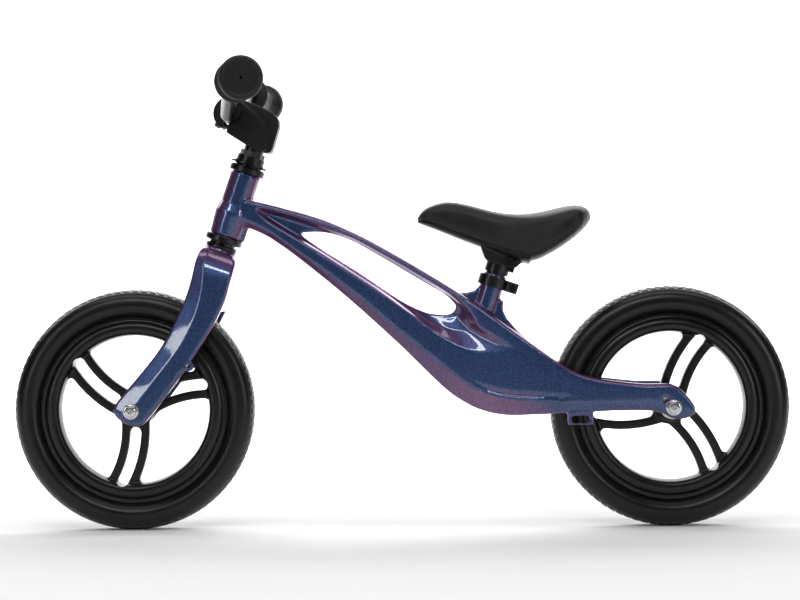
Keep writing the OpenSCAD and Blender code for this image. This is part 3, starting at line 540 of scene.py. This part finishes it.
@dataclass
class MainFrame:
    """The casting, the headset cups, the seat clamp and the rear axle set."""

    shop: Shop
    grain: float = 1.6 * MM
    rounds: int = 7
    ear_share: float = 0.66
    plain: tuple[str, ...] = (
        "upper_cup", "lower_cup", "seat_clamp_bolt", "seat_clamp_nut",
        "rear_axle", "rear_axle_bolts", "rear_washers", "rear_spacers",
    )

    def build(self) -> None:
        """Makes the filleted casting and the band, and dresses the rest."""
        casting = self.shop.cast("frame", self.grain, self.rounds)
        self.shop.settle(casting, Body.FRAME, "frame")
        band = self.shop.cast("seat_clamp_band", 0.6 * MM, 3)
        self.shop.settle(band, Body.FRAME, "seat_clamp_band")
        self.ears(band)
        for node in self.plain:
            self.shop.keep(node)


    def ears(self, band: bpy.types.Object) -> None:
        """Gives the flat ears of the clamp their sawn grey faces."""
        grey = self.shop.finishes.by_slot["satin_grey"]
        band.data.materials.append(grey)
        low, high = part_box("seat_clamp_band")
        start = low[0] + (high[0] - low[0]) * self.ear_share
        for face in band.data.polygons:
            if face.center.x > start and abs(face.normal.y) > 0.9:
                face.material_index = 1


@dataclass
class Steering:
    """The fork, the steerer with its bearings and the front axle set."""

    shop: Shop
    grain: float = 1.3 * MM
    rounds: int = 6
    plain: tuple[str, ...] = (
        "steerer_tube", "crown_race", "lower_balls", "upper_balls", "top_race", "dust_seal",
        "keyed_washer", "locknut", "front_axle", "front_axle_bolts", "front_washers", "front_spacers",
    )

    def build(self) -> None:
        """Makes the filleted fork and dresses the rest."""
        fork = self.shop.cast("fork", self.grain, self.rounds)
        self.shop.settle(fork, Body.STEERING, "fork")
        for node in self.plain:
            self.shop.keep(node)


@dataclass
class Stem:
    """The quill, the stem's body with its cap, and the bolts."""

    shop: Shop
    plain: tuple[str, ...] = ("quill", "expander_wedge", "expander_bolt", "clamp_bolts")

    def build(self) -> None:
        """Makes the filleted body and cap, and dresses the rest."""
        for node in ("stem_body", "clamp_cap"):
            piece = self.shop.cast(node, 0.7 * MM, 5)
            self.shop.settle(piece, Body.STEM, node)
        for node in self.plain:
            self.shop.keep(node)


@dataclass
class Wheel:
    """One wheel: its moulded rim, its foam tyre with tread, and its bearings."""

    shop: Shop
    ring: RingOfCopies
    end: str
    body: Body
    tread_blocks: int = 84
    tread_high: float = 0.6 * MM
    tread_share: float = 0.62
    tread_root: float = 1.5 * MM
    crown_drop: float = 20 * MM
    crown_power: float = 2.56
    side_power: float = 0.78
    side_share: float = 0.34
    lip: float = 2.2 * MM
    lip_high: float = 3.4 * MM
    foot_in: float = 8.5 * MM
    rib_half: float = 6 * MM
    spin: Matrix = field(init=False)

    def __post_init__(self) -> None:
        """Works out where the wheel stands."""
        middle = centre(f"{self.end}_tyre")
        self.spin = Matrix.Translation(middle) @ Matrix.Rotation(math.radians(90), 4, "X")

    def tyre_profile(self) -> list[tuple[float, float]]:
        """Closed profile of the tyre: rounded sides, a flatter tread and a foot in the rim."""
        sides = size(f"{self.end}_tyre")
        outer, half = sides.x / 2 - self.tread_high, sides.y / 2
        seat = size(f"{self.end}_rim").x / 2
        wall = outer - seat
        steps = 40
        bulge = []
        for i in range(steps + 1):
            t = math.pi * i / steps
            along = -math.copysign(abs(math.cos(t)) ** self.side_power, math.cos(t)) * half
            rise = (wall * (1 - self.side_share)) * math.sin(t) ** self.side_power
            bulge.append((seat + wall * self.side_share + rise, along))
        foot = half - self.foot_in
        edge_half, lip_half = half - 3.2 * MM, half - 5.4 * MM
        left = [
            (seat + self.lip_high, edge_half),
            (seat + self.lip, lip_half),
            (seat, foot),
            (seat, self.rib_half + 3 * MM),
            (seat - self.rib_half, self.rib_half),
        ]
        right = [(radius, -along) for radius, along in reversed(left)]
        return bulge + left + right

    def tread_block(self, outer: float, half: float) -> bpy.types.Object:
        """One low tread block that follows the crown, drawn on +X around z."""
        work = bmesh.new()
        rows = 14
        width = 2 * math.pi * outer / self.tread_blocks * self.tread_share
        reach = half * self.tread_share
        top: list[tuple[Vector, Vector]] = []
        for k in range(rows + 1):
            u = -1 + 2 * k / rows
            along = u * reach
            level = (1 - min(1.0, abs(along) / half) ** self.crown_power) ** (1 / self.crown_power)
            drop = (1 - level) * self.crown_drop
            bow = 0.35 * width * math.cos(u * math.pi)
            radius = outer - drop
            height = self.tread_high * (1.0 if abs(u) < 0.93 else 0.2)
            for y in (bow - width / 2, bow + width / 2):
                crown = Vector((radius + height, y, along))
                root = Vector((radius - self.tread_root, y, along))
                top.append((crown, root))
        high = [work.verts.new(p) for p, _ in top]
        deep = [work.verts.new(p) for _, p in top]
        for k in range(rows):
            a, b, c, d = 2 * k, 2 * k + 1, 2 * k + 3, 2 * k + 2
            work.faces.new((high[a], high[b], high[c], high[d]))
            work.faces.new((deep[d], deep[c], deep[b], deep[a]))
            work.faces.new((high[a], high[d], deep[d], deep[a]))
            work.faces.new((high[c], high[b], deep[b], deep[c]))
        work.faces.new((high[1], high[0], deep[0], deep[1]))
        work.faces.new((high[-2], high[-1], deep[-1], deep[-2]))
        bmesh.ops.recalc_face_normals(work, faces=work.faces)
        mesh = bpy.data.meshes.new("tread")
        work.to_mesh(mesh)
        work.free()
        return self.shop.add(f"{self.end}_tread", mesh)

    def build(self) -> None:
        """Makes the rim, the tyre and its tread, and dresses the bearings."""
        profile = self.tyre_profile()
        tyre = self.shop.turn(f"{self.end}_tyre_shape", profile, self.spin, 180)
        self.shop.settle(tyre, self.body, f"{self.end}_tyre")
        outer = max(r for r, _ in profile)
        half = max(a for _, a in profile)
        tread = self.tread_block(outer, half)
        material = self.shop.finishes.by_slot["tyre_foam"]
        self.ring.repeat(self.shop, tread, self.tread_blocks, material, self.spin)
        self.shop.settle(tread, self.body, slot="tyre_foam")
        for face in tread.data.polygons:
            face.use_smooth = False
        rim = self.shop.cast(f"{self.end}_rim", 1.25 * MM, 5)
        self.shop.settle(rim, self.body, f"{self.end}_rim")
        self.shop.keep(f"{self.end}_bearings")
        self.shop.keep(f"{self.end}_hub_sleeve")


@dataclass
class Handlebar:
    """The bent tube and the two grips with their round guards."""

    shop: Shop
    grain: float = 0.8 * MM

    def build(self) -> None:
        """Makes the filleted tube and grips."""
        for node in ("handlebar", "left_grip", "right_grip"):
            piece = self.shop.cast(node, self.grain, 4)
            self.shop.settle(piece, Body.HANDLEBAR, node)


@dataclass
class Seat:
    """The post, the bracket and the saddle."""

    shop: Shop
    plain: tuple[str, ...] = ("seat_post", "saddle_bracket", "saddle_bolt", "saddle_nut")

    def build(self) -> None:
        """Makes the foam cushion and the base, and dresses the rest."""
        cushion = self.shop.cast("saddle_cushion", 2.0 * MM, 14)
        self.shop.settle(cushion, Body.SEAT, "saddle_cushion")
        base = self.shop.cast("saddle_base", 1.0 * MM, 4)
        self.shop.settle(base, Body.SEAT, "saddle_base")
        for node in self.plain:
            self.shop.keep(node)


# ------------------------------------------------------------------- studio


@dataclass(frozen=True)
class Softbox:
    """A rectangular light aimed at a point."""

    name: str
    place: tuple[float, float, float]
    aim: tuple[float, float, float]
    wide: float
    high: float
    power: float

    def build(self) -> None:
        """Adds the light to the scene."""
        light = bpy.data.lights.new(self.name, "AREA")
        light.shape = "RECTANGLE"
        light.size, light.size_y = self.wide, self.high
        light.energy = self.power
        lamp = bpy.data.objects.new(self.name, light)
        lamp.location = self.place
        lamp.rotation_euler = (Vector(self.aim) - Vector(self.place)).to_track_quat("-Z", "Y").to_euler()
        bpy.context.scene.collection.objects.link(lamp)


@dataclass
class Studio:
    """Camera, pale sweep and soft lights."""

    eye: tuple[float, float, float] = (0.015, -2.450, 0.2725)
    lens: float = 99.0
    roll: float = 0.432
    shift: tuple[float, float] = (-15 / 800, -18 / 800)
    surround: float = 0.03
    floor_tone: float = 0.93
    boxes: tuple[Softbox, ...] = (
        Softbox("top", (0.0, -0.25, 1.7), (0.0, 0.0, 0.25), 2.4, 0.40, 10.0),
        Softbox("left", (-1.5, -1.5, 0.8), (-0.1, 0.0, 0.3), 0.12, 1.4, 5.5),
        Softbox("right", (1.6, -1.4, 0.7), (0.1, 0.0, 0.3), 0.14, 1.2, 7.0),
        Softbox("high", (-0.2, -1.5, 1.5), (0.0, 0.0, 0.3), 1.6, 0.14, 12.0),
        Softbox("backdrop", (0.0, 0.9, 1.6), (0.0, 3.2, 0.5), 5.0, 0.8, 150.0),
        Softbox("floor", (0.0, 1.4, 1.6), (0.0, 1.0, 0.0), 5.0, 0.8, 50.0),
    )

    def camera(self) -> None:
        """Adds the camera, looking along +Y with a slight roll."""
        data = bpy.data.cameras.new("camera")
        data.lens = self.lens
        data.sensor_width = 36.0
        data.shift_x, data.shift_y = self.shift
        data.clip_end = 50.0
        eye = bpy.data.objects.new("camera", data)
        c, s = math.cos(math.radians(self.roll)), math.sin(math.radians(self.roll))
        turn = Matrix(((c, s, 0.0), (0.0, 0.0, -1.0), (-s, c, 0.0))).to_4x4()
        eye.matrix_world = Matrix.Translation(self.eye) @ turn
        bpy.context.scene.collection.objects.link(eye)
        bpy.context.scene.camera = eye

    def sweep(self) -> None:
        """Adds the floor, which curves up into the backdrop."""
        bend = arc(2.2, 1.2, 1.2, -90, 0, 16)
        line = [(-4.5, 0.0)] + bend + [(3.4, 6.0)]
        work = bmesh.new()
        left = [work.verts.new((-7.0, y, z)) for y, z in line]
        right = [work.verts.new((7.0, y, z)) for y, z in line]
        for i in range(len(line) - 1):
            work.faces.new((left[i], right[i], right[i + 1], left[i + 1]))
        mesh = bpy.data.meshes.new("sweep")
        work.to_mesh(mesh)
        work.free()
        floor = bpy.data.objects.new("sweep", mesh)
        bpy.context.scene.collection.objects.link(floor)
        g = Graph("pale_sweep")
        g.set(Base_Color=(*[self.floor_tone] * 3, 1.0), Roughness=0.85, Specular_IOR_Level=0.1)
        mesh.materials.append(g.material)

    def world(self) -> None:
        """Gives the scene a faint white surround, so that dark sides stay dark."""
        world = bpy.data.worlds.new("surround")
        world.use_nodes = True
        back = world.node_tree.nodes["Background"]
        back.inputs["Color"].default_value = (1.0, 1.0, 1.0, 1.0)
        back.inputs["Strength"].default_value = self.surround
        bpy.context.scene.world = world
        bpy.context.scene.view_settings.view_transform = "Standard"

    def build(self) -> None:
        """Adds everything."""
        self.camera()
        self.sweep()
        self.world()
        for box in self.boxes:
            box.build()


def main() -> None:
    """Builds the bike's looks on its frame and the studio round it."""
    logging.basicConfig(level=logging.INFO, format="%(name)s: %(message)s")
    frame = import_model()
    finishes = Finishes()
    shop = Shop(frame, finishes)
    ring = RingOfCopies()
    MainFrame(shop).build()
    Steering(shop).build()
    Stem(shop).build()
    Handlebar(shop).build()
    Wheel(shop, ring, "front", Body.FRONT_WHEEL).build()
    Wheel(shop, ring, "rear", Body.REAR_WHEEL).build()
    Seat(shop).build()
    Studio().build()


if __name__ == "__main__":
    main()
